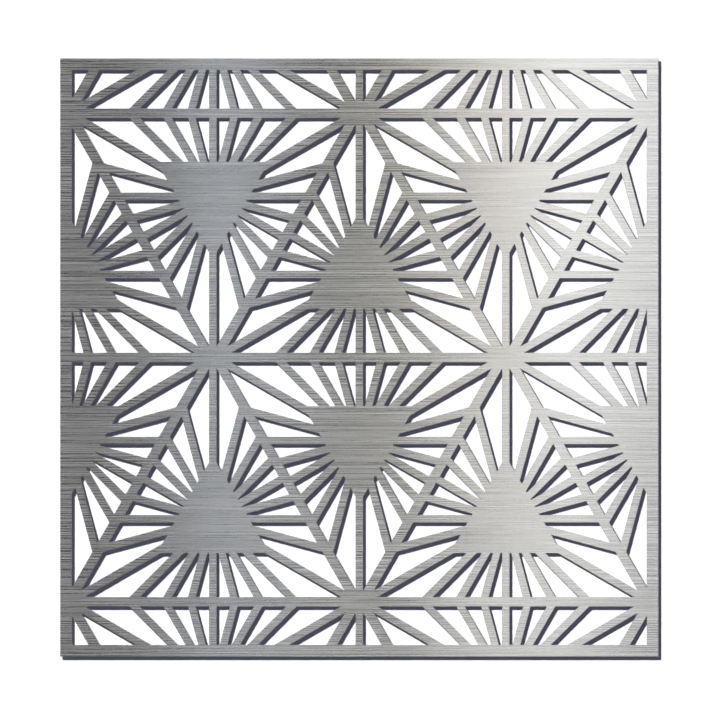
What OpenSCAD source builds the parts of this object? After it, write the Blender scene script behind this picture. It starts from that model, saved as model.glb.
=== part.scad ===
// Laser cut metal screen: one flat sheet pierced with rows of triangular
// starbursts, held a few millimetres off a wall by studs welded to its back.
// Millimetres, +Z up. The front faces -Y, and the wall is the plane Y = 0.

/* [Sheet] */
// Width of the sheet
panel_w = 600; // [560:5:640]
// Height of the sheet
panel_h = 600; // [540:5:700]
// Thickness of the sheet
panel_t = 3; // [1.5:0.5:6]
// Solid border left round the lattice
border_w = 11.7; // [8:0.1:16]

/* [Lattice] */
// Height of a window, the equal-sided triangle that one starburst fills
window_h = 235.5; // [225:0.5:245]
// Width of the level rails between rows of windows
rail_w = 9.5; // [6:0.1:12]
// Width of the slanted bars between neighbours in a row
bar_w = 9.5; // [6:0.1:12]
// Width of the rays that run from a plate to the rails and bars
ray_w = 7.5; // [5:0.1:9]
// Angle from one ray to the next
ray_step = 15; // [15, 20, 24]
// Distance from the middle of a starburst to its plate's level side
plate_level = 34.5; // [28:0.5:42]
// Distance from the middle of a starburst to its plate's slanted sides
plate_slant = 31.5; // [28:0.5:42]
// Area of the smallest slot worth cutting, in square millimetres
slot_min = 30; // [10:5:60]

/* [Wall fixings] */
// Distance from the middle of a stud to the sheet's side edge
stud_inset = 10; // [8:0.5:12]
// Diameter of a stud's thread
stud_d = 4; // [3:0.5:5]
// Length of that thread, which is what goes into the wall
thread_len = 18; // [10:1:40]
// Depth of the thread, by which the plain neck in front of it is thinner all round
thread_depth = 0.25; // [0.15:0.05:0.4]
// Width of the flange that stands out round a stud where it is welded on
flange_rim = 0.75; // [0.5:0.05:1]
// Thickness of that flange
flange_t = 0.8; // [0.5:0.1:1.5]
// Gap all round between the flange and the spacer's bore
flange_gap = 0.25; // [0.1:0.05:0.5]
// Wall thickness of a spacer tube
spacer_wall = 2; // [1:0.1:2.5]
// Length of a spacer tube
spacer_len = 6; // [3:0.5:25]
// Thickness of the washer between a spacer and the wall
washer_t = 1; // [0.5:0.1:3]
// Gap all round between a stud and the washer's hole
washer_gap = 0.15; // [0.1:0.05:0.3]
// Bevel on the turned edges of studs and spacers
bevel = 0.4; // [0.1:0.1:0.5]

/* [Hidden] */
$fn = 48;

// The middle of a starburst is as far from all three sides of its window.
window_r = window_h / 3;
rise = rail_w / 2 + window_r;
rail_pitch = window_h + rail_w;
column_pitch = (1.5 * window_r + bar_w) / cos(30);
rays_per_side = 120 / ray_step;

wall_gap = spacer_len + washer_t;
flange_d = stud_d + 2 * flange_rim;
spacer_bore = flange_d + 2 * flange_gap;
spacer_d = spacer_bore + 2 * spacer_wall;
stud_x = panel_w / 2 - stud_inset;
stud_z = rail_pitch * floor((panel_h / 2 - border_w) / rail_pitch);

// A line is [a, b, c], and the side of it that is kept has a x + b y <= c.
function line(angle, distance) = [cos(angle), sin(angle), distance];
function beyond(line, p) = line[0] * p.x + line[1] * p.y - line[2];

function cut_point(line, p, q) =
    let (dp = beyond(line, p), dq = beyond(line, q))
    p + dp / (dp - dq) * (q - p);

function clip(points, line) = [
    for (i = [0 : len(points) - 1])
        let (p = points[i], q = points[(i + 1) % len(points)])
        let (dp = beyond(line, p), dq = beyond(line, q))
        each [if (dp <= 0) p, if (dp * dq < 0) cut_point(line, p, q)]
];

function clip_all(points, lines, i = 0) =
    i == len(lines) || len(points) < 3
        ? points
        : clip_all(clip(points, lines[i]), lines, i + 1);

function area(points, i = 0, sum = 0) =
    i == len(points)
        ? abs(sum) / 2
        : let (p = points[i], q = points[(i + 1) % len(points)])
          area(points, i + 1, sum + p.x * q.y - q.x * p.y);

// The slots of one starburst that points up, about its middle. Each side of
// the window has a fan of slots between neighbouring rays. Side 0 is level.
function slot(side, i) =
    let (
        across = -90 + 120 * side,
        first_ray = across - 60 + ray_step * i,
        plate = side == 0 ? plate_level : plate_slant,
        whole = [[-window_h, -window_h], [window_h, -window_h], [0, 2 * window_h]]
    )
    clip_all(whole, [
        line(across, window_r),
        line(across + 180, -plate),
        line(first_ray - 90, -ray_w / 2),
        line(first_ray + ray_step + 90, -ray_w / 2)
    ]);

burst_slots = [for (side = [0 : 2]) for (i = [0 : rays_per_side - 1]) slot(side, i)];

// A starburst is [x, y, way], and way is 1 if it points up and -1 if down.
// Neighbours along a row and across a rail point opposite ways.
columns = ceil(panel_w / 2 / column_pitch) + 1;
rows = ceil(panel_h / 2 / rail_pitch);
bursts = [
    for (row = [-rows : rows - 1]) for (column = [-columns : columns])
        let (way = (row + column) % 2 == 0 ? 1 : -1)
        let (rail = way == 1 ? row : row + 1)
        [column * column_pitch, rail * rail_pitch + way * rise, way]
];

function placed(points, burst) = [
    for (p = points) [burst.x + p.x, burst.y + burst.z * p.y]
];

open_w = panel_w / 2 - border_w;
open_h = panel_h / 2 - border_w;
border_lines = [line(0, open_w), line(180, open_w), line(90, open_h), line(270, open_h)];

slots = [
    for (burst = bursts) for (points = burst_slots)
        let (cut = clip_all(placed(points, burst), border_lines))
        if (len(cut) > 2 && area(cut) > slot_min) cut
];

module screen_panel() {
    color([0.66, 0.66, 0.65])
        translate([0, -wall_gap, 0])
            rotate([90, 0, 0])
                linear_extrude(panel_t)
                    difference() {
                        square([panel_w, panel_h], center = true);
                        for (points = slots) polygon(points);
                    }
}

// A fixing is drawn standing on the wall plane, and turned to point backwards.
module at_corner(side, up) {
    translate([side * stud_x, 0, up * stud_z])
        rotate([-90, 0, 0])
            children();
}

// A stud is plain as far as the wall plane and threaded beyond it.
module weld_stud() {
    neck_d = stud_d - 2 * thread_depth;
    stud_len = wall_gap + thread_len;
    color([0.78, 0.77, 0.74])
        translate([0, 0, -wall_gap])
            rotate_extrude()
                polygon([
                    [0, 0],
                    [flange_d / 2, 0],
                    [flange_d / 2, flange_t],
                    [neck_d / 2, flange_t],
                    [neck_d / 2, wall_gap],
                    [stud_d / 2, wall_gap],
                    [stud_d / 2, stud_len - bevel],
                    [stud_d / 2 - bevel, stud_len],
                    [0, stud_len]
                ]);
}

module spacer_tube() {
    color([0.82, 0.83, 0.84])
        translate([0, 0, -wall_gap])
            rotate_extrude()
                polygon([
                    [spacer_bore / 2, 0],
                    [spacer_d / 2 - bevel, 0],
                    [spacer_d / 2, bevel],
                    [spacer_d / 2, spacer_len - bevel],
                    [spacer_d / 2 - bevel, spacer_len],
                    [spacer_bore / 2, spacer_len]
                ]);
}

module wall_washer() {
    color([0.08, 0.08, 0.09])
        translate([0, 0, -washer_t])
            difference() {
                cylinder(h = washer_t, d = spacer_d);
                translate([0, 0, -washer_t])
                    cylinder(h = 3 * washer_t, d = stud_d + 2 * washer_gap);
            }
}

screen_panel();

at_corner(-1, 1) weld_stud();  // stud_top_left
at_corner(1, 1) weld_stud();  // stud_top_right
at_corner(-1, -1) weld_stud();  // stud_bottom_left
at_corner(1, -1) weld_stud();  // stud_bottom_right

at_corner(-1, 1) spacer_tube();  // spacer_top_left
at_corner(1, 1) spacer_tube();  // spacer_top_right
at_corner(-1, -1) spacer_tube();  // spacer_bottom_left
at_corner(1, -1) spacer_tube();  // spacer_bottom_right

at_corner(-1, 1) wall_washer();  // washer_top_left
at_corner(1, 1) wall_washer();  // washer_top_right
at_corner(-1, -1) wall_washer();  // washer_bottom_left
at_corner(1, -1) wall_washer();  // washer_bottom_right
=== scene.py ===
import math

import bmesh
import bpy
from mathutils import Matrix, Vector


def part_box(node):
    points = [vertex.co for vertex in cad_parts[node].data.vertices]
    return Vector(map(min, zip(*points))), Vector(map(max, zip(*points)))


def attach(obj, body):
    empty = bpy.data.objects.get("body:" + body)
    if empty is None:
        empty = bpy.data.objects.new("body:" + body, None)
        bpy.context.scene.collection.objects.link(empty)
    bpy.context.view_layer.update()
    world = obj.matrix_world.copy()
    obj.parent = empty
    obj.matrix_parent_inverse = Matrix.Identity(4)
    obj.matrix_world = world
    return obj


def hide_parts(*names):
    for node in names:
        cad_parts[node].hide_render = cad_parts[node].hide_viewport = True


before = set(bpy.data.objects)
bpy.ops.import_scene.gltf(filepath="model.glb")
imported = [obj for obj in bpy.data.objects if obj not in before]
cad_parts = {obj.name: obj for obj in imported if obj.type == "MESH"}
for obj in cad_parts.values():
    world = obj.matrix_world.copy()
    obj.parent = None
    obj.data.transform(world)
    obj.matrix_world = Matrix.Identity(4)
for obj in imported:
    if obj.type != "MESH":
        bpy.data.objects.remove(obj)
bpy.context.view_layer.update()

MM = 0.001
# Vertices that lie closer together than this are made one.
MERGE = 0.001 * MM
CORNERS = ("top_left", "top_right", "bottom_left", "bottom_right")

# ---------------------------------------------------------------- the camera

# The photograph looks square on at the sheet, with no perspective. Its frame is
# 722 mm wide, and the frame's middle lies a little right of and below the sheet's.
PHOTO_WIDTH = 722.2
PHOTO_MIDDLE = (0.65, -2.5)
CAMERA_DISTANCE = 2000

view = bpy.data.cameras.new("photo_camera")
view.type = "ORTHO"
view.ortho_scale = PHOTO_WIDTH * MM
camera = bpy.data.objects.new("photo_camera", view)
camera.location = Vector((PHOTO_MIDDLE[0], -CAMERA_DISTANCE, PHOTO_MIDDLE[1])) * MM
camera.rotation_euler = (math.radians(90), 0, 0)
bpy.context.scene.collection.objects.link(camera)
bpy.context.scene.camera = camera
bpy.context.scene.view_settings.view_transform = "Standard"


# ------------------------------------------------------- colours and materials


def linear(colour):
    """An sRGB hex colour as the linear RGBA that a shader takes."""
    parts = [int(colour[i : i + 2], 16) / 255 for i in (1, 3, 5)]
    return [p / 12.92 if p <= 0.04045 else ((p + 0.055) / 1.055) ** 2.4 for p in parts] + [1]


def add(tree, kind, inputs=(), **settings):
    """Add a node with its settings. An input is a value or the socket that feeds it."""
    node = tree.nodes.new(kind)
    for name, value in settings.items():
        setattr(node, name, value)
    for name, value in dict(inputs).items():
        if isinstance(value, bpy.types.NodeSocket):
            tree.links.new(value, node.inputs[name])
        else:
            node.inputs[name].default_value = value
    return node


def new_finish(name):
    """An empty material, as its node tree and its output node."""
    finish = bpy.data.materials.new(name)
    finish.use_nodes = True
    finish.node_tree.nodes.clear()
    return finish, finish.node_tree, add(finish.node_tree, "ShaderNodeOutputMaterial")


def brushed_stainless():
    """Stainless steel with a long-grain belt-brushed face, the grain level.

    To the eye: grey metal drawn into fine level streaks of light and dark. The
    grain spreads a reflection up and down and keeps it sharp from side to side.
    """
    finish, tree, out = new_finish("brushed_stainless")
    place = add(tree, "ShaderNodeTexCoord").outputs["Object"]

    # A belt wanders a little as it cuts, so the streaks bend by up to half a millimetre.
    wander_length, wander_pitch, wander = 90, 35, 0.9
    slow = add(tree, "ShaderNodeMapping", {
        "Vector": place, "Scale": (1 / (wander_length * MM), 0, 1 / (wander_pitch * MM)),
    })
    drift = add(tree, "ShaderNodeTexNoise", {"Vector": slow.outputs[0], "Scale": 1, "Detail": 1})
    lift = add(tree, "ShaderNodeMath", {0: drift.outputs[0], 1: -0.5}, operation="ADD")
    rise = add(tree, "ShaderNodeMath", {0: lift.outputs[0], 1: wander * MM}, operation="MULTIPLY")
    shift = add(tree, "ShaderNodeCombineXYZ", {"Z": rise.outputs[0]})
    bent = add(tree, "ShaderNodeVectorMath", {0: place, 1: shift.outputs[0]}, operation="ADD")

    # Real grain lines are 0.05 to 0.3 mm apart. They are drawn 0.6 mm apart, as
    # coarse as they need to be to show. Each layer: length in millimetres, share.
    # A grit throws up a lip beside each line that it cuts, so a light line has a
    # darker one by it, here a millimetre away.
    pitch, lip, lip_share = 0.6, 1.0, 0.37
    layers = ((330, 0.42), (90, 0.28), (30, 0.15), (6, 0.07), (1.5, 0.08))
    grain = None
    for i, (length, share) in enumerate(layers):
        for aside, strength in ((0, 1 + lip_share), (lip, -lip_share)):
            # Each layer starts at another spot of the noise, so that no two line up.
            drawn = add(tree, "ShaderNodeMapping", {
                "Vector": bent.outputs[0],
                "Location": (1.7 * i + 0.5, 0, 5.3 * i + aside / pitch),
                "Scale": (1 / (length * MM), 0, 1 / (pitch * MM)),
            })
            lines = add(tree, "ShaderNodeTexNoise", {"Vector": drawn.outputs[0], "Scale": 1, "Detail": 0})
            grain = add(tree, "ShaderNodeMath", {
                0: lines.outputs[0], 1: share * strength, 2: grain.outputs[0] if grain else 0,
            }, operation="MULTIPLY_ADD")

    # Here and there a coarse grit leaves one long line, bright or dark.
    scratch_length, scratch_pitch = 260, 0.8
    scored = add(tree, "ShaderNodeMapping", {
        "Vector": bent.outputs[0], "Location": (9, 0, 31),
        "Scale": (1 / (scratch_length * MM), 0, 1 / (scratch_pitch * MM)),
    })
    marks = add(tree, "ShaderNodeTexNoise", {"Vector": scored.outputs[0], "Scale": 1, "Detail": 0})
    bright = add(tree, "ShaderNodeMapRange", {
        "Value": marks.outputs[0], "From Min": 0.68, "From Max": 0.78, "To Max": 0.16,
    })
    dark = add(tree, "ShaderNodeMapRange", {
        "Value": marks.outputs[0], "From Min": 0.30, "From Max": 0.20, "To Max": -0.08,
    })
    grain = add(tree, "ShaderNodeMath", {0: grain.outputs[0], 1: bright.outputs[0]}, operation="ADD")
    grain = add(tree, "ShaderNodeMath", {0: grain.outputs[0], 1: dark.outputs[0]}, operation="ADD")

    groove_depth = 0.004
    height = add(tree, "ShaderNodeMapRange", {
        "Value": grain.outputs[0], "From Min": 0.35, "From Max": 0.72,
    })
    steel = add(tree, "ShaderNodeMix", {
        "Factor": height.outputs[0], "A": linear("#C7C7C6"), "B": linear("#E2E2E1"),
    }, data_type="RGBA")
    dull = add(tree, "ShaderNodeMapRange", {"Value": height.outputs[0], "To Min": 0.21, "To Max": 0.42})
    grooves = add(tree, "ShaderNodeBump", {
        "Height": height.outputs[0], "Distance": groove_depth * MM, "Strength": 0.6,
    })
    along = add(tree, "ShaderNodeTangent", direction_type="RADIAL", axis="X")
    shader = add(tree, "ShaderNodeBsdfPrincipled", {
        "Base Color": steel.outputs["Result"], "Metallic": 1, "Roughness": dull.outputs[0],
        "Anisotropic": 0.93, "Tangent": along.outputs[0], "Normal": grooves.outputs[0],
    })
    tree.links.new(shader.outputs[0], out.inputs[0])
    return finish


def mill_finish_stainless():
    """Cold-rolled 2B stainless steel, as the mill delivers it, on the back of the sheet.

    To the eye: an even, milky satin grey with a faint level rolling grain.
    """
    finish, tree, out = new_finish("mill_finish_stainless")
    place = add(tree, "ShaderNodeTexCoord").outputs["Object"]
    roll_length, roll_pitch, cloud_size = 160, 3, 45
    rolled = add(tree, "ShaderNodeMapping", {
        "Vector": place, "Scale": (1 / (roll_length * MM), 0, 1 / (roll_pitch * MM)),
    })
    lines = add(tree, "ShaderNodeTexNoise", {"Vector": rolled.outputs[0], "Scale": 1, "Detail": 2})
    clouds = add(tree, "ShaderNodeTexNoise", {
        "Vector": place, "Scale": 1 / (cloud_size * MM), "Detail": 3,
    })
    both = add(tree, "ShaderNodeMath", {0: lines.outputs[0], 1: clouds.outputs[0]}, operation="ADD")
    level = add(tree, "ShaderNodeMapRange", {"Value": both.outputs[0], "From Min": 0.7, "From Max": 1.3})
    steel = add(tree, "ShaderNodeMix", {
        "Factor": level.outputs[0], "A": linear("#B9BABB"), "B": linear("#CFCFCE"),
    }, data_type="RGBA")
    dull = add(tree, "ShaderNodeMapRange", {"Value": level.outputs[0], "To Min": 0.40, "To Max": 0.47})
    # Pickling leaves pits a few hundredths of a millimetre wide. They are drawn
    # 0.8 mm wide so that they show.
    pit_size, pit_depth = 0.8, 0.006
    pits = add(tree, "ShaderNodeTexNoise", {"Vector": place, "Scale": 1 / (pit_size * MM), "Detail": 2})
    skin = add(tree, "ShaderNodeBump", {
        "Height": pits.outputs[0], "Distance": pit_depth * MM, "Strength": 0.5,
    })
    shader = add(tree, "ShaderNodeBsdfPrincipled", {
        "Base Color": steel.outputs["Result"], "Metallic": 1,
        "Roughness": dull.outputs[0], "Normal": skin.outputs[0],
    })
    tree.links.new(shader.outputs[0], out.inputs[0])
    return finish


def laser_cut_stainless():
    """The walls that the laser leaves in stainless steel cut with nitrogen.

    To the eye: dull grey metal with fine lines straight through the thickness,
    darker and a little straw-coloured towards the back, where the melt runs out.
    """
    finish, tree, out = new_finish("laser_cut_stainless")
    place = add(tree, "ShaderNodeTexCoord").outputs["Object"]
    # Striations are 0.1 to 0.3 mm apart. They are drawn 0.5 mm apart so that they show.
    pitch, length, ridge_height = 0.5, 9, 0.04
    through = add(tree, "ShaderNodeMapping", {
        "Vector": place, "Scale": (1 / (pitch * MM), 1 / (length * MM), 1 / (pitch * MM)),
    })
    lines = add(tree, "ShaderNodeTexNoise", {"Vector": through.outputs[0], "Scale": 1, "Detail": 1.5})
    split = add(tree, "ShaderNodeSeparateXYZ", {"Vector": place})
    front, back = (corner.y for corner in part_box("screen_panel"))
    drag = add(tree, "ShaderNodeMapRange", {
        "Value": split.outputs["Y"], "From Min": front, "From Max": back,
    })
    cut = add(tree, "ShaderNodeMix", {
        "Factor": drag.outputs[0], "A": linear("#A9AAAC"), "B": linear("#857F77"),
    }, data_type="RGBA")
    shade = add(tree, "ShaderNodeMapRange", {
        "Value": lines.outputs[0], "From Min": 0.3, "From Max": 0.7, "To Min": 0.8, "To Max": 1.1,
    })
    steel = add(tree, "ShaderNodeVectorMath", {
        0: cut.outputs["Result"], "Scale": shade.outputs[0],
    }, operation="SCALE")
    ridges = add(tree, "ShaderNodeBump", {
        "Height": lines.outputs[0], "Distance": ridge_height * MM, "Strength": 0.7,
    })
    shader = add(tree, "ShaderNodeBsdfPrincipled", {
        "Base Color": steel.outputs[0], "Metallic": 1, "Roughness": 0.5, "Normal": ridges.outputs[0],
    })
    tree.links.new(shader.outputs[0], out.inputs[0])
    return finish


def bright_stud_steel():
    """Stainless stud steel with a rolled thread, as it comes from the box.

    To the eye: clean bright metal, duller in the roots of the thread, with the
    brown tint of the weld on its flange.
    """
    finish, tree, out = new_finish("bright_stud_steel")
    place = add(tree, "ShaderNodeTexCoord").outputs["Object"]
    split = add(tree, "ShaderNodeSeparateXYZ", {"Vector": place})
    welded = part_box("stud_top_left")[0].y
    tint_length, blotch_size = 2.5, 1.6
    heat = add(tree, "ShaderNodeMapRange", {
        "Value": split.outputs["Y"], "From Min": welded, "From Max": welded + tint_length * MM,
    }, interpolation_type="SMOOTHSTEP")
    blotch = add(tree, "ShaderNodeTexNoise", {
        "Vector": place, "Scale": 1 / (blotch_size * MM), "Detail": 2,
    })
    steel = add(tree, "ShaderNodeMix", {
        "Factor": heat.outputs[0], "A": linear("#9A7F62"), "B": linear("#CDCCC9"),
    }, data_type="RGBA")
    shade = add(tree, "ShaderNodeMapRange", {
        "Value": blotch.outputs[0], "From Min": 0.3, "From Max": 0.7, "To Min": 0.88, "To Max": 1.06,
    })
    tone = add(tree, "ShaderNodeVectorMath", {
        0: steel.outputs["Result"], "Scale": shade.outputs[0],
    }, operation="SCALE")
    dull = add(tree, "ShaderNodeMapRange", {
        "Value": blotch.outputs[0], "From Min": 0.3, "From Max": 0.7, "To Min": 0.24, "To Max": 0.36,
    })
    shader = add(tree, "ShaderNodeBsdfPrincipled", {
        "Base Color": tone.outputs[0], "Metallic": 1, "Roughness": dull.outputs[0],
    })
    tree.links.new(shader.outputs[0], out.inputs[0])
    return finish


def turned_aluminium():
    """Aluminium bar turned on a lathe and left bare.

    To the eye: pale silver metal with fine rings left round it by the tool.
    """
    finish, tree, out = new_finish("turned_aluminium")
    place = add(tree, "ShaderNodeTexCoord").outputs["Object"]
    # The tool feeds 0.1 mm a turn. The rings are drawn 0.3 mm apart so that they show.
    feed, ring_length, ring_depth = 0.3, 30, 0.02
    rings = add(tree, "ShaderNodeMapping", {
        "Vector": place, "Scale": (1 / (ring_length * MM), 1 / (feed * MM), 1 / (ring_length * MM)),
    })
    lines = add(tree, "ShaderNodeTexNoise", {"Vector": rings.outputs[0], "Scale": 1, "Detail": 1})
    metal = add(tree, "ShaderNodeMix", {
        "Factor": lines.outputs[0], "A": linear("#C6C9CC"), "B": linear("#EDEEF0"),
    }, data_type="RGBA")
    dull = add(tree, "ShaderNodeMapRange", {"Value": lines.outputs[0], "To Min": 0.26, "To Max": 0.42})
    grooves = add(tree, "ShaderNodeBump", {
        "Height": lines.outputs[0], "Distance": ring_depth * MM, "Strength": 0.6,
    })
    shader = add(tree, "ShaderNodeBsdfPrincipled", {
        "Base Color": metal.outputs["Result"], "Metallic": 1,
        "Roughness": dull.outputs[0], "Normal": grooves.outputs[0],
    })
    tree.links.new(shader.outputs[0], out.inputs[0])
    return finish


def moulded_rubber():
    """Black synthetic rubber, moulded.

    To the eye: a soft matt black that greys where light grazes it, with a fine
    grain from the mould and a trace of dust.
    """
    finish, tree, out = new_finish("moulded_rubber")
    place = add(tree, "ShaderNodeTexCoord").outputs["Object"]
    dust_size, pore_size, pore_depth = 2.5, 0.25, 0.02
    dust = add(tree, "ShaderNodeTexNoise", {"Vector": place, "Scale": 1 / (dust_size * MM), "Detail": 4})
    black = add(tree, "ShaderNodeMix", {
        "Factor": dust.outputs[0], "A": linear("#1C1D1F"), "B": linear("#34353A"),
    }, data_type="RGBA")
    dull = add(tree, "ShaderNodeMapRange", {"Value": dust.outputs[0], "To Min": 0.62, "To Max": 0.85})
    pores = add(tree, "ShaderNodeTexNoise", {"Vector": place, "Scale": 1 / (pore_size * MM), "Detail": 2})
    skin = add(tree, "ShaderNodeBump", {
        "Height": pores.outputs[0], "Distance": pore_depth * MM, "Strength": 0.5,
    })
    shader = add(tree, "ShaderNodeBsdfPrincipled", {
        "Base Color": black.outputs["Result"], "Roughness": dull.outputs[0],
        "IOR": 1.52, "Normal": skin.outputs[0],
    })
    tree.links.new(shader.outputs[0], out.inputs[0])
    return finish


# ------------------------------------------------------------------ the pieces


def show(name, bm, finishes, node, smooth_under=None):
    """Turn a finished bmesh into a piece that stands for a CAD node."""
    mesh = bpy.data.meshes.new(name)
    bm.to_mesh(mesh)
    bm.free()
    for finish in finishes:
        mesh.materials.append(finish)
    if smooth_under:
        mesh.shade_smooth()
        mesh.set_sharp_from_angle(angle=math.radians(smooth_under))
    piece = bpy.data.objects.new(name, mesh)
    bpy.context.scene.collection.objects.link(piece)
    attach(piece, "root")
    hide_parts(node)


# The sheet's finishes, by their places among its materials.
FRONT, BACK, CUT = 0, 1, 2
DEBURR = 0.2


def cut_sheet(finishes):
    """The sheet with its slots, and its sharp edges taken off front and back."""
    bm = bmesh.new()
    bm.from_mesh(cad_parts["screen_panel"].data)
    bmesh.ops.remove_doubles(bm, verts=bm.verts, dist=MERGE)
    for face in bm.faces:
        face.material_index = CUT
    for side, way in ((FRONT, -1), (BACK, 1)):
        flat = [f for f in bm.faces if f.normal.y * way > 0.9]
        for face in flat:
            face.material_index = side
        # The flat face sinks first and then rises again inside a sloping rim.
        corners = list({v for f in flat for v in f.verts})
        bmesh.ops.translate(bm, verts=corners, vec=(0, -way * DEBURR * MM, 0))
        rims = bmesh.ops.inset_region(
            bm, faces=flat, thickness=DEBURR * MM, depth=DEBURR * MM,
            use_even_offset=True, use_boundary=True,
        )["faces"]
        for face in rims:
            face.material_index = CUT
    show("laser_cut_sheet", bm, finishes, "screen_panel")


def turned(profile, steps, closed=False):
    """A bmesh turned round the Z axis from a profile of (radius, height) in millimetres."""
    bm = bmesh.new()
    points = [bm.verts.new((r * MM, 0, z * MM)) for r, z in profile]
    edges = [bm.edges.new(pair) for pair in zip(points, points[1:])]
    if closed:
        edges.append(bm.edges.new((points[-1], points[0])))
    bmesh.ops.spin(
        bm, geom=points + edges, axis=(0, 0, 1), cent=(0, 0, 0),
        angle=2 * math.pi, steps=steps, use_merge=True,
    )
    bmesh.ops.remove_doubles(bm, verts=bm.verts, dist=MERGE)
    return bm


def fixing_size(node):
    """Where a fixing's CAD node starts and ends along Y, and its radius, in millimetres."""
    low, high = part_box(node)
    return low.y / MM, high.y / MM, (high.x - low.x) / MM / 2


def stand_on_wall(bm, node):
    """Turn a bmesh so that its Z axis points into the wall, and bring it to its CAD node."""
    low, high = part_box(node)
    middle = Vector(((low.x + high.x) / 2, 0, (low.z + high.z) / 2))
    into_wall = Matrix.Translation(middle) @ Matrix.Rotation(math.radians(-90), 4, "X")
    bmesh.ops.transform(bm, matrix=into_wall, verts=bm.verts)
    bmesh.ops.recalc_face_normals(bm, faces=bm.faces)


# The stud's M4 thread has the standard's radius, pitch and depth. Its tooth is
# drawn from (radius, share of the pitch).
CREST, PITCH, THREAD_DEPTH, THREAD_STEPS = 2.0, 0.7, 0.43, 32
ROOT = CREST - THREAD_DEPTH
TOOTH = ((ROOT, 0), (ROOT, 0.25), (CREST, 0.5625), (CREST, 0.6875), (ROOT, 1))
# In front of it are a plain neck, which ends a little short of the wall plane, and
# a flange. Behind it is a tip that narrows to a share of its width.
NECK, NECK_GAP, NECK_FILLET = 1.75, 0.3, 0.2
FLANGE_THICK, SEAT_BEVEL, FLANGE_BEVEL = 0.8, 0.1, 0.15
TIP, TIP_SHARE = 0.4, 0.78
SLIVER = 0.005


def weld_stud(corner, finish):
    """A flanged weld stud: a plain neck as far as the wall plane and a rolled thread beyond it."""
    node = "stud_" + corner
    start, end, flange = fixing_size(node)
    flange_top = start + FLANGE_THICK
    bm = turned((
        (0, start),
        (flange - SEAT_BEVEL, start),
        (flange, start + SEAT_BEVEL),
        (flange, flange_top - FLANGE_BEVEL),
        (flange - FLANGE_BEVEL, flange_top),
        (NECK + NECK_FILLET, flange_top),
        (NECK, flange_top + NECK_FILLET),
        (NECK, -NECK_GAP),
    ), steps=THREAD_STEPS)
    neck_and_flange = set(bm.verts)

    # One tooth is wound up the stud from below the wall plane to past the tip, and
    # the thread is then cut off at both. Slivers that the cut leaves are dissolved.
    turns = math.ceil(end / PITCH) + 2
    points = [bm.verts.new((r * MM, 0, (share - 2) * PITCH * MM)) for r, share in TOOTH]
    edges = [bm.edges.new(pair) for pair in zip(points, points[1:])]
    bmesh.ops.spin(
        bm, geom=points + edges, axis=(0, 0, 1), cent=(0, 0, 0), dvec=(0, 0, PITCH * MM / THREAD_STEPS),
        angle=2 * math.pi * turns, steps=THREAD_STEPS * turns,
    )
    thread = [v for v in bm.verts if v not in neck_and_flange]
    bmesh.ops.remove_doubles(bm, verts=thread, dist=MERGE)
    for height, way in ((0, -1), (end - TIP, 1)):
        thread = [v for v in bm.verts if v not in neck_and_flange]
        thread += [e for e in bm.edges if neck_and_flange.isdisjoint(e.verts)]
        thread += [f for f in bm.faces if neck_and_flange.isdisjoint(f.verts)]
        bmesh.ops.bisect_plane(
            bm, geom=thread, plane_co=(0, 0, height * MM), plane_no=(0, 0, way), clear_outer=True,
        )
        bmesh.ops.dissolve_degenerate(bm, dist=SLIVER * MM, edges=bm.edges)

    # The thread's lower end joins the neck, and its upper end is drawn in and closed.
    ends = [e for e in bm.edges if e.is_boundary]
    lower = [e for e in ends if e.verts[0].co.z < end / 2 * MM]
    upper = [e for e in ends if e not in lower]
    bmesh.ops.bridge_loops(bm, edges=lower)
    drawn = bmesh.ops.extrude_edge_only(bm, edges=upper)["geom"]
    rim = [v for v in drawn if isinstance(v, bmesh.types.BMVert)]
    bmesh.ops.scale(bm, vec=(TIP_SHARE, TIP_SHARE, 1), verts=rim)
    bmesh.ops.translate(bm, vec=(0, 0, TIP * MM), verts=rim)
    bmesh.ops.holes_fill(bm, edges=[e for e in drawn if isinstance(e, bmesh.types.BMEdge)], sides=0)
    stand_on_wall(bm, node)
    show("weld_stud_" + corner, bm, [finish], node, smooth_under=35)


def spacer_tube(corner, finish):
    """A turned tube with a bevel on each end, inside and out."""
    node = "spacer_" + corner
    start, end, outer = fixing_size(node)
    bore, outer_bevel, bore_bevel = 3.0, 0.4, 0.2
    bm = turned((
        (bore + bore_bevel, start),
        (outer - outer_bevel, start),
        (outer, start + outer_bevel),
        (outer, end - outer_bevel),
        (outer - outer_bevel, end),
        (bore + bore_bevel, end),
        (bore, end - bore_bevel),
        (bore, start + bore_bevel),
    ), steps=96, closed=True)
    stand_on_wall(bm, node)
    show("spacer_tube_" + corner, bm, [finish], node, smooth_under=30)


def wall_washer(corner, finish):
    """A moulded ring with rounded edges."""
    node = "washer_" + corner
    start, end, outer = fixing_size(node)
    hole, rounding = 2.15, 0.18
    bm = turned(((hole, start), (outer, start), (outer, end), (hole, end)), steps=72, closed=True)
    square = [e for e in bm.edges if e.calc_face_angle(0) > math.radians(60)]
    bmesh.ops.bevel(
        bm, geom=square, offset=rounding * MM, affect="EDGES", segments=3, profile=0.5, material=-1,
        clamp_overlap=True,
    )
    stand_on_wall(bm, node)
    show("wall_washer_" + corner, bm, [finish], node, smooth_under=50)


cut_sheet([brushed_stainless(), mill_finish_stainless(), laser_cut_stainless()])
stud_steel, spacer_metal, washer_rubber = bright_stud_steel(), turned_aluminium(), moulded_rubber()
for corner in CORNERS:
    weld_stud(corner, stud_steel)
    spacer_tube(corner, spacer_metal)
    wall_washer(corner, washer_rubber)


# ----------------------------------------------------- the studio round the sheet


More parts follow.
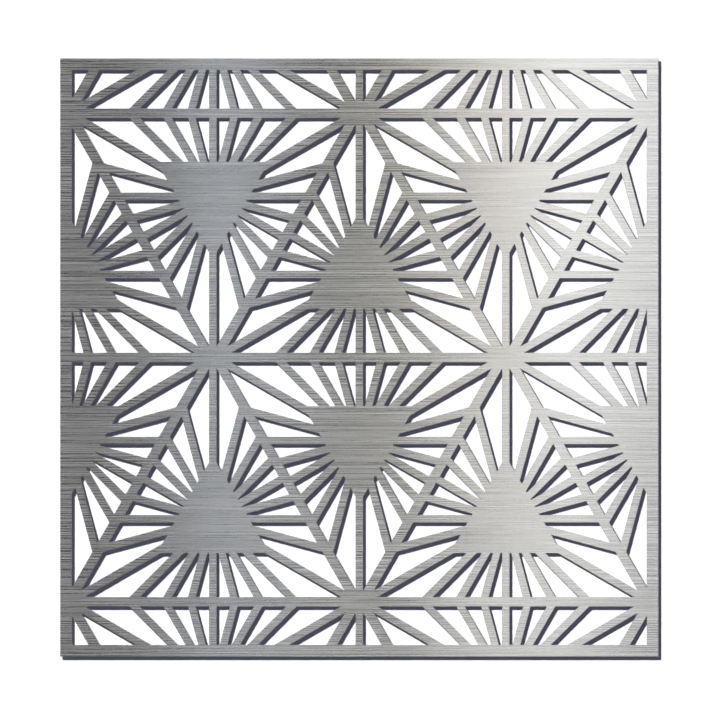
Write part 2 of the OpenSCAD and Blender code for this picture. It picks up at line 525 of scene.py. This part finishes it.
def set_up(name, bm, finish, **seen_by):
    """Turn a bmesh into a part of the studio, and say which rays see it."""
    mesh = bpy.data.meshes.new(name)
    bm.to_mesh(mesh)
    bm.free()
    mesh.materials.append(finish)
    prop = bpy.data.objects.new(name, mesh)
    bpy.context.scene.collection.objects.link(prop)
    for ray, seen in seen_by.items():
        setattr(prop, "visible_" + ray, seen)


def first_seen(tree):
    """1 for what is seen straight, in a reflection or through glass, and 0 for scattered light."""
    path = add(tree, "ShaderNodeLightPath").outputs
    seen = add(tree, "ShaderNodeMath", {
        0: path["Is Camera Ray"], 1: path["Is Glossy Ray"],
    }, operation="MAXIMUM")
    seen = add(tree, "ShaderNodeMath", {
        0: seen.outputs[0], 1: path["Is Transmission Ray"],
    }, operation="MAXIMUM")
    # A reflection that lights a dull surface counts as scattered light.
    fresh = add(tree, "ShaderNodeMath", {0: path["Diffuse Depth"], 1: 0.5}, operation="LESS_THAN")
    both = add(tree, "ShaderNodeMath", {0: seen.outputs[0], 1: fresh.outputs[0]}, operation="MULTIPLY")
    return both.outputs[0]


def painted_wall():
    """White paint that shows from the front only, so that the back of the screen can be seen.

    A faint blue glow stands in for the sky light that fills the sheet's shadow.
    """
    finish, tree, out = new_finish("painted_wall")
    paint = add(tree, "ShaderNodeBsdfDiffuse", {"Color": linear("#FFFFFF")})
    shade = add(tree, "ShaderNodeEmission", {"Color": linear("#3C3D4A"), "Strength": first_seen(tree)})
    lit = add(tree, "ShaderNodeAddShader", {0: paint.outputs[0], 1: shade.outputs[0]})
    clear = add(tree, "ShaderNodeBsdfTransparent")
    side = add(tree, "ShaderNodeNewGeometry").outputs["Backfacing"]
    both = add(tree, "ShaderNodeMixShader", {0: side, 1: lit.outputs[0], 2: clear.outputs[0]})
    tree.links.new(both.outputs[0], out.inputs[0])
    return finish


def pale_floor():
    """Off-white paint that glows a little, so that it stays pale from every side."""
    finish, tree, out = new_finish("pale_floor")
    paint = add(tree, "ShaderNodeBsdfDiffuse", {"Color": linear("#F4F4F2")})
    glow = add(tree, "ShaderNodeEmission", {"Color": linear("#C8C8C8"), "Strength": first_seen(tree)})
    both = add(tree, "ShaderNodeAddShader", {0: paint.outputs[0], 1: glow.outputs[0]})
    tree.links.new(both.outputs[0], out.inputs[0])
    return finish


# The wall stands a hair behind the washers, so that no two surfaces share a plane.
WALL_Y, FLOOR_Z, STUDIO = 0.3, -750, 12000

bm = bmesh.new()
bmesh.ops.create_grid(bm, x_segments=1, y_segments=1, size=STUDIO / 2 * MM)
bmesh.ops.rotate(bm, verts=bm.verts, cent=(0, 0, 0), matrix=Matrix.Rotation(math.radians(90), 3, "X"))
bmesh.ops.translate(bm, verts=bm.verts, vec=Vector((0, WALL_Y, FLOOR_Z + STUDIO / 2)) * MM)
set_up("wall", bm, painted_wall(), glossy=False, diffuse=False, shadow=False)

bm = bmesh.new()
bmesh.ops.create_grid(bm, x_segments=1, y_segments=1, size=STUDIO / 2 * MM)
bmesh.ops.translate(bm, verts=bm.verts, vec=Vector((0, WALL_Y - STUDIO / 2, FLOOR_Z)) * MM)
set_up("floor", bm, pale_floor(), glossy=False, diffuse=False)

# A drum of white cloth hangs round the screen and is lit from outside in soft
# upright bands, plainer low down. Only reflections show it. Each band: degrees to
# the right of the camera's side, its colour high up and its colour low down. One
# turns into the other between two heights.
TENT_RADIUS, TENT_HEIGHT, TENT_LIGHT = 450, 6000, 1.25
BANDS_HIGH, BANDS_LOW = 180, -380
TENT_BANDS = (
    (-100, "#A0A0A0", "#949494"),
    (-62, "#909090", "#8A8A8A"),
    (-41, "#494949", "#434343"),
    (-29, "#505050", "#656565"),
    (-23, "#7A7E85", "#757679"),
    (-18, "#9FA4AD", "#898C92"),
    (-7, "#656565", "#A0A1A2"),
    (0, "#6E6C66", "#898989"),
    (5, "#8B8780", "#8D8D8D"),
    (18, "#DCD7D1", "#C0C0BF"),
    (27, "#F9F7F4", "#C7C7C6"),
    (41, "#E8E8E8", "#949494"),
    (62, "#909090", "#8A8A8A"),
    (100, "#D8D8D8", "#C8C8C8"),
    (140, "#8E8E90", "#7A7A7C"),
    (180, "#FFFFFF", "#D8D8D8"),
    (220, "#8E8E90", "#7A7A7C"),
)


def tent_cloth():
    """White cloth, lit through in the bands of TENT_BANDS."""
    finish, tree, out = new_finish("tent_cloth")
    place = add(tree, "ShaderNodeTexCoord").outputs["Object"]
    # Radial runs from 0 at -X through 0.25 at -Y, the camera's side.
    around = add(tree, "ShaderNodeTexGradient", {"Vector": place}, gradient_type="RADIAL")
    rows = []
    for row in (1, 2):
        bands = add(tree, "ShaderNodeValToRGB", {"Fac": around.outputs["Fac"]})
        stops = bands.color_ramp.elements
        for band in TENT_BANDS:
            stops.new((0.25 + band[0] / 360) % 1).color = linear(band[row])
        # A new ramp comes with a black and a white stop.
        stops.remove(stops[-1])
        stops.remove(stops[0])
        rows.append(bands.outputs[0])
    height = add(tree, "ShaderNodeSeparateXYZ", {"Vector": place}).outputs["Z"]
    low = add(tree, "ShaderNodeMapRange", {
        "Value": height, "From Min": BANDS_HIGH * MM, "From Max": BANDS_LOW * MM,
    })
    cloth = add(tree, "ShaderNodeMix", {
        "Factor": low.outputs[0], "A": rows[0], "B": rows[1],
    }, data_type="RGBA")
    shown = add(tree, "ShaderNodeMath", {0: first_seen(tree), 1: TENT_LIGHT}, operation="MULTIPLY")
    glow = add(tree, "ShaderNodeEmission", {
        "Color": cloth.outputs["Result"], "Strength": shown.outputs[0],
    })
    tree.links.new(glow.outputs[0], out.inputs[0])
    # Reflected rays find the cloth by themselves, so it isn't sampled as a lamp.
    finish.cycles.emission_sampling = "NONE"
    return finish


bm = bmesh.new()
bmesh.ops.create_cone(
    bm, cap_ends=False, segments=180, radius1=TENT_RADIUS * MM, radius2=TENT_RADIUS * MM,
    depth=TENT_HEIGHT * MM,
)
set_up("light_tent", bm, tent_cloth(), camera=False, diffuse=False, shadow=False, transmission=False)


def sun(name, strength, width, aim, **seen_by):
    """A far-off light, `width` degrees across, that shines along `aim`."""
    light = bpy.data.lights.new(name, "SUN")
    light.energy = strength
    light.angle = math.radians(width)
    lamp = bpy.data.objects.new(name, light)
    lamp.rotation_euler = Vector(aim).to_track_quat("-Z", "Y").to_euler()
    for ray, seen in seen_by.items():
        setattr(lamp, "visible_" + ray, seen)
    bpy.context.scene.collection.objects.link(lamp)


# The key light is small, up and to the left in front, so that the sheet throws a
# hard shadow to the right and down on the wall.
sun("key", 3.5, 2, (0.293, 1, -0.367), glossy=False)
# A lamp high up makes the grain glint, and a window on the left shows in the
# metal when the screen is looked at from the right.
sun("glint", 1.1, 10, (0, 0.35, -0.94), diffuse=False)
sun("window", 0.85, 20, (0.5, 0.86, -0.02), diffuse=False)
# A soft light from behind the wall shows the rubber and the floor from there.
sun("fill_from_behind", 2, 60, (0.4, -1, -0.6), glossy=False)

# The room is white to look at, and sheds a little bluish light.
world = bpy.data.worlds.new("white_room")
world.use_nodes = True
world.node_tree.nodes.clear()
tree = world.node_tree
room = add(tree, "ShaderNodeMix", {
    "Factor": first_seen(tree), "A": linear("#303138"), "B": linear("#FFFFFF"),
}, data_type="RGBA")
sky = add(tree, "ShaderNodeBackground", {"Color": room.outputs["Result"], "Strength": 1})
tree.links.new(sky.outputs[0], add(tree, "ShaderNodeOutputWorld").inputs[0])
bpy.context.scene.world = world
